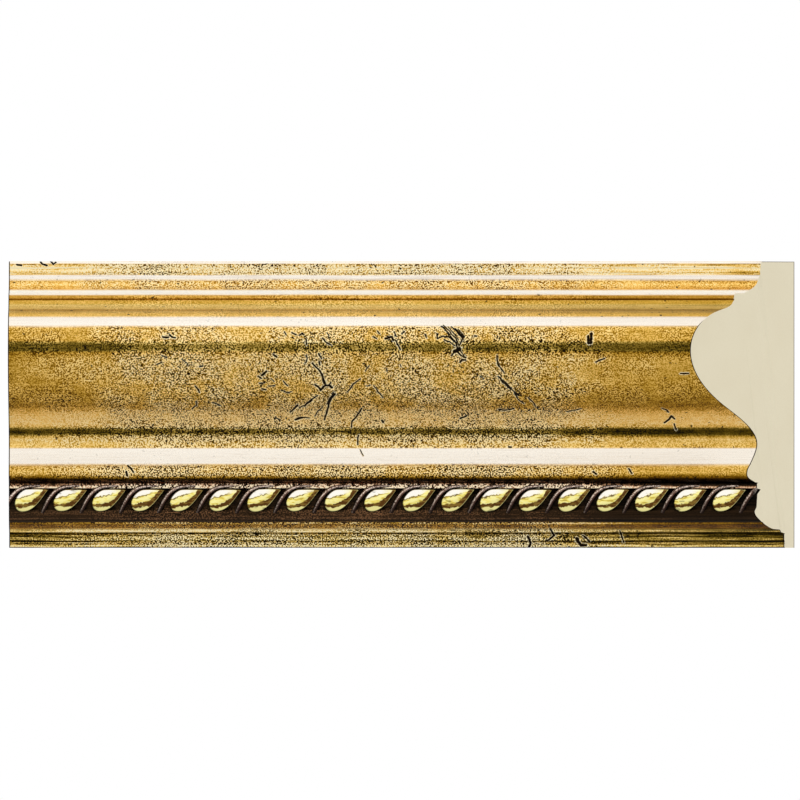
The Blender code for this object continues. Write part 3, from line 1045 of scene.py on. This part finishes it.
def bead_shade_band(tree, upper, lower, along):
    """1 in the brown band low on a bead, and in the fine dark line near its top: painted reflection of the
    studio's darker zones, the band spreading to the right as painted shade.
    """
    off_line = calculate(tree, "ABSOLUTE", minus(tree, upper, 0.98))
    line = remap(tree, off_line, 0.06, 0.16, 0.9, 0.0)
    line = times(tree, line, remap(tree, along, 0.4, 1.6, 1.0, 0.0))
    return larger(tree, remap(tree, lower, -0.95, -0.8, 1.0, 0.0), line)


def bead_foot_and_rim_highlight(tree, lowest, along, rim):
    """1 on a bead's foot, and a little less along its right rim: painted reflection and highlight in pale
    leaf.
    """
    rimmed = times(tree, remap(tree, rim, 0.91, 0.945), remap(tree, along, -0.5, 0.5))
    foot = remap(tree, lowest, -1.62, -1.5, 1.0, 0.0)
    foot = times(tree, foot, remap(tree, along, 1.2, 1.9, 1.0, 0.0))
    return larger(tree, foot, times(tree, rimmed, 0.85))


def bead_colour(tree, along, across, rim):
    """Leaf with a painted highlight on top, a brown band of painted reflection and shade under it, and a
    pale painted foot and rim.
    """
    reach = larger(tree, plus(tree, along, 3.0), 0.0)
    upper = minus(tree, across, times(tree, along, 0.27))
    lower = minus(tree, across, times(tree, calculate(tree, "POWER", reach, 3.0), 0.0155))
    lowest = minus(tree, across, times(tree, calculate(tree, "POWER", reach, 2.0), 0.022))
    veins = grain(tree, in_millimetres(tree, 4.0), scale=2.4, detail=1.0)
    brown = mix_colours(tree, remap(tree, veins, 0.5, 0.6, 0.0, 0.8), BEAD_BAND_SHADE, BEAD_DEEP)
    leaf = bead_leaf(tree, veins, upper, along)
    leaf = mix_colours(tree, bead_shade_band(tree, upper, lower, along), leaf, brown)
    return mix_colours(tree, bead_foot_and_rim_highlight(tree, lowest, along, rim), leaf, BEAD_CREAM)


def bead_material():
    """Polished beads, with dark glaze round their rims, fine scratches, and painted reflections and shade
    in their leaf.
    """
    material, tree, shader = new_material("polished_gilt_beads")
    spot = in_millimetres(tree)
    scratches = grain(tree, in_millimetres(tree, 3.0), scale=1.1)
    clouds = remap(tree, grain(tree, spot, scale=0.35), 0.3, 0.7, -0.22, 0.22)
    ripples = remap(tree, grain(tree, spot, scale=1.6, detail=1.0), 0.3, 0.7, -0.16, 0.16)
    across = plus(tree, plus(tree, mark(tree, "across"), clouds), ripples)
    leaf = bead_colour(tree, mark(tree, "along"), across, mark(tree, "rim"))
    scratched = remap(tree, scratches, 0.64, 0.72, 0.0, 0.5)
    glaze = calculate(tree, "ADD", mark(tree, "glaze"), scratched, clamp=True)
    feed(tree, shader.inputs["Base Color"], mix_colours(tree, glaze, leaf, GLAZE_BLACK))
    feed(tree, shader.inputs["Roughness"], remap(tree, glaze, 0.0, 1.0, 0.07, 0.5))
    shader.inputs["Metallic"].default_value = 1.0
    bump(tree, shader, scratches, 0.03 * MM)
    return material


def strand_material():
    """Strands dark under the glaze and in painted shade on the side from the light, maroon towards it,
    brighter towards the top as painted light and rub, with a pale painted highlight along the lit crests.
    """
    material, tree, shader = new_material("glazed_strands")
    spot = in_millimetres(tree)
    crest = mark(tree, "crest")
    rubbed_and_toplit = mark(tree, "rubbed_and_toplit")
    clouds = grain(tree, spot, scale=1.3, detail=3.0)
    specks = remap(tree, grain(tree, spot, scale=3.6, detail=1.0), 0.42, 0.58, 0.15, 1.0)
    # Painted light: brighter towards the strand's top, maroon on the side towards the light, pale on the
    # lit crest
    top_light_and_rub = remap(tree, rubbed_and_toplit, 0.05, 0.5, 0.15, 1.0)
    back = times(tree, remap(tree, crest, 0.25, 0.85), remap(tree, clouds, 0.3, 0.6, 0.5, 1.0))
    ridge = larger(tree, remap(tree, crest, 0.8, 0.97), remap(tree, rubbed_and_toplit, 0.5, 0.75, 0.0, 0.75))
    bright = times(tree, times(tree, top_light_and_rub, ridge), specks)
    colour = mix_colours(tree, times(tree, back, top_light_and_rub), STRAND_DARK, STRAND_MAROON)
    feed(tree, shader.inputs["Base Color"], mix_colours(tree, bright, colour, STRAND_HIGHLIGHT))
    feed(tree, shader.inputs["Roughness"], remap(tree, clouds, 0.3, 0.7, 0.22, 0.4))
    shader.inputs["Metallic"].default_value = 0.9
    shader.inputs["Specular IOR Level"].default_value = 0.2
    bump(tree, shader, clouds, 0.05 * MM)
    return material


def core_edge(tree, spot):
    """1 in a thin line where a cut face meets the back and the top of the strip."""
    parts = tree.nodes.new("ShaderNodeSeparateXYZ")
    tree.links.new(spot, parts.inputs[0])
    top = LOWER_EDGE / MM + FACE_HEIGHT
    back = remap(tree, parts.outputs["Y"], -0.22, -0.12)
    return larger(tree, back, remap(tree, parts.outputs["Z"], top - 0.2, top - 0.1))


def rolled_lines(tree):
    """Faint lines along the back, left by the rollers."""
    lines = grain(tree, in_millimetres(tree, 30.0), scale=0.9, detail=4.0, roughness=0.6)
    return remap(tree, lines, 0.45, 0.75, 0.0, 0.5)


def core_material(name, cut):
    """The bare cream core, a fine closed foam: cut, with its edge line, or rolled."""
    material, tree, shader = new_material(name)
    spot = in_millimetres(tree)
    cells = grain(tree, spot, scale=3.0, detail=3.0, roughness=0.6)
    patches = remap(tree, grain(tree, spot, scale=0.12), 0.4, 0.7, 0.0, 0.3)
    tone = plus(tree, remap(tree, cells, 0.45, 0.75, 0.0, 0.3), patches)
    colour = mix_colours(tree, tone, CORE, CORE_DARK)
    if cut:
        colour = mix_colours(tree, core_edge(tree, spot), colour, CORE_EDGE)
    else:
        colour = mix_colours(tree, rolled_lines(tree), colour, CORE_WORN)
    feed(tree, shader.inputs["Base Color"], colour)
    feed(tree, shader.inputs["Roughness"], remap(tree, cells, 0.3, 0.7, 0.55, 0.7))
    bump(tree, shader, cells, 0.03 * MM)
    return material


def floor_material():
    material, tree, shader = new_material("studio_floor")
    tone = grain(tree, in_millimetres(tree), scale=0.01)
    feed(tree, shader.inputs["Base Color"], mix_colours(tree, tone, *FLOOR_COLOURS))
    shader.inputs["Roughness"].default_value = 0.9
    return material


# The studio

# What the studio shows at each angle round the strip's long axis, in degrees: 0 is level in
# front, 90 is overhead, 180 is level behind. Each step is (angle, brightness).
STUDIO = (
    (-180, 0.5), (-100, 0.7), (-80, 0.85), (-56, 0.78), (-30, 0.78), (-12, 0.84), (0, 0.96), (12, 0.97),
    (15, 0.93), (20, 1.0), (60, 1.0), (110, 1.05), (150, 1.05), (180, 0.7),
)
STUDIO_PEAK = 1.2


def studio_light(tree):
    """What the studio shows in each direction, read from the angle round the strip's long axis."""
    direction = tree.nodes.new("ShaderNodeSeparateXYZ")
    tree.links.new(tree.nodes.new("ShaderNodeTexCoord").outputs["Generated"], direction.inputs[0])
    ahead = times(tree, direction.outputs["Y"], -1.0)
    angle = calculate(tree, "ARCTAN2", direction.outputs["Z"], ahead)
    stops = [((degrees + 180) / 360, (level / STUDIO_PEAK,) * 3) for degrees, level in STUDIO]
    return colour_ramp(tree, remap(tree, angle, -math.pi, math.pi), stops)


def make_world():
    """A white backdrop to the camera, and a softly banded studio to the gilt."""
    world = bpy.data.worlds.new("studio")
    bpy.context.scene.world = world
    world.use_nodes = True
    tree = world.node_tree
    backdrop = tree.nodes.new("ShaderNodeBackground")
    backdrop.inputs["Color"].default_value = (1.0, 1.0, 1.0, 1.0)
    lit = tree.nodes["Background"]
    lit.inputs["Strength"].default_value = STUDIO_PEAK
    tree.links.new(studio_light(tree), lit.inputs["Color"])
    seen = tree.nodes.new("ShaderNodeLightPath").outputs["Is Camera Ray"]
    mix = tree.nodes.new("ShaderNodeMixShader")
    tree.links.new(seen, mix.inputs[0])
    tree.links.new(lit.outputs[0], mix.inputs[1])
    tree.links.new(backdrop.outputs[0], mix.inputs[2])
    tree.links.new(mix.outputs[0], tree.nodes["World Output"].inputs["Surface"])


def make_softbox():
    """A soft light over the strip that doesn't show in the picture."""
    lamp = bpy.data.lights.new("overhead_softbox", "AREA")
    lamp.shape = "RECTANGLE"
    lamp.size, lamp.size_y = SOFTBOX_SIZE
    lamp.energy = SOFTBOX_POWER
    obj = add_object("overhead_softbox", lamp)
    obj.location = SOFTBOX_PLACE
    obj.rotation_euler = (VIEW_CENTRE - obj.location).to_track_quat("-Z", "Y").to_euler()
    obj.visible_camera = False


def make_floor():
    floor = bmesh.new()
    bmesh.ops.create_circle(floor, cap_ends=True, segments=96, radius=FLOOR_RADIUS)
    obj = add_object("floor", to_mesh(floor, "floor"), floor_material())
    obj.location.z = FLOOR_HEIGHT
    obj.visible_glossy = False


def make_camera():
    camera = bpy.data.cameras.new("camera")
    camera.lens = LENS
    camera.sensor_width = SENSOR
    distance = VIEW_WIDTH / SENSOR * LENS
    camera.clip_end = 4 * distance
    obj = add_object("camera", camera)
    obj.location = VIEW_CENTRE - Vector((0.0, distance, 0.0))
    obj.rotation_euler = (math.radians(90), 0.0, 0.0)
    bpy.context.scene.camera = obj


def main():
    make_camera()
    make_world()
    make_softbox()
    make_floor()
    cut = core_material("cream_core", cut=True)
    back = core_material("cream_back", cut=False)
    dress(make_strip(gilt_material(), cut, back))
    dress(make_beads(bead_material()))
    dress(make_strands(strand_material()))
    bpy.context.scene.view_settings.view_transform = "Standard"


main()
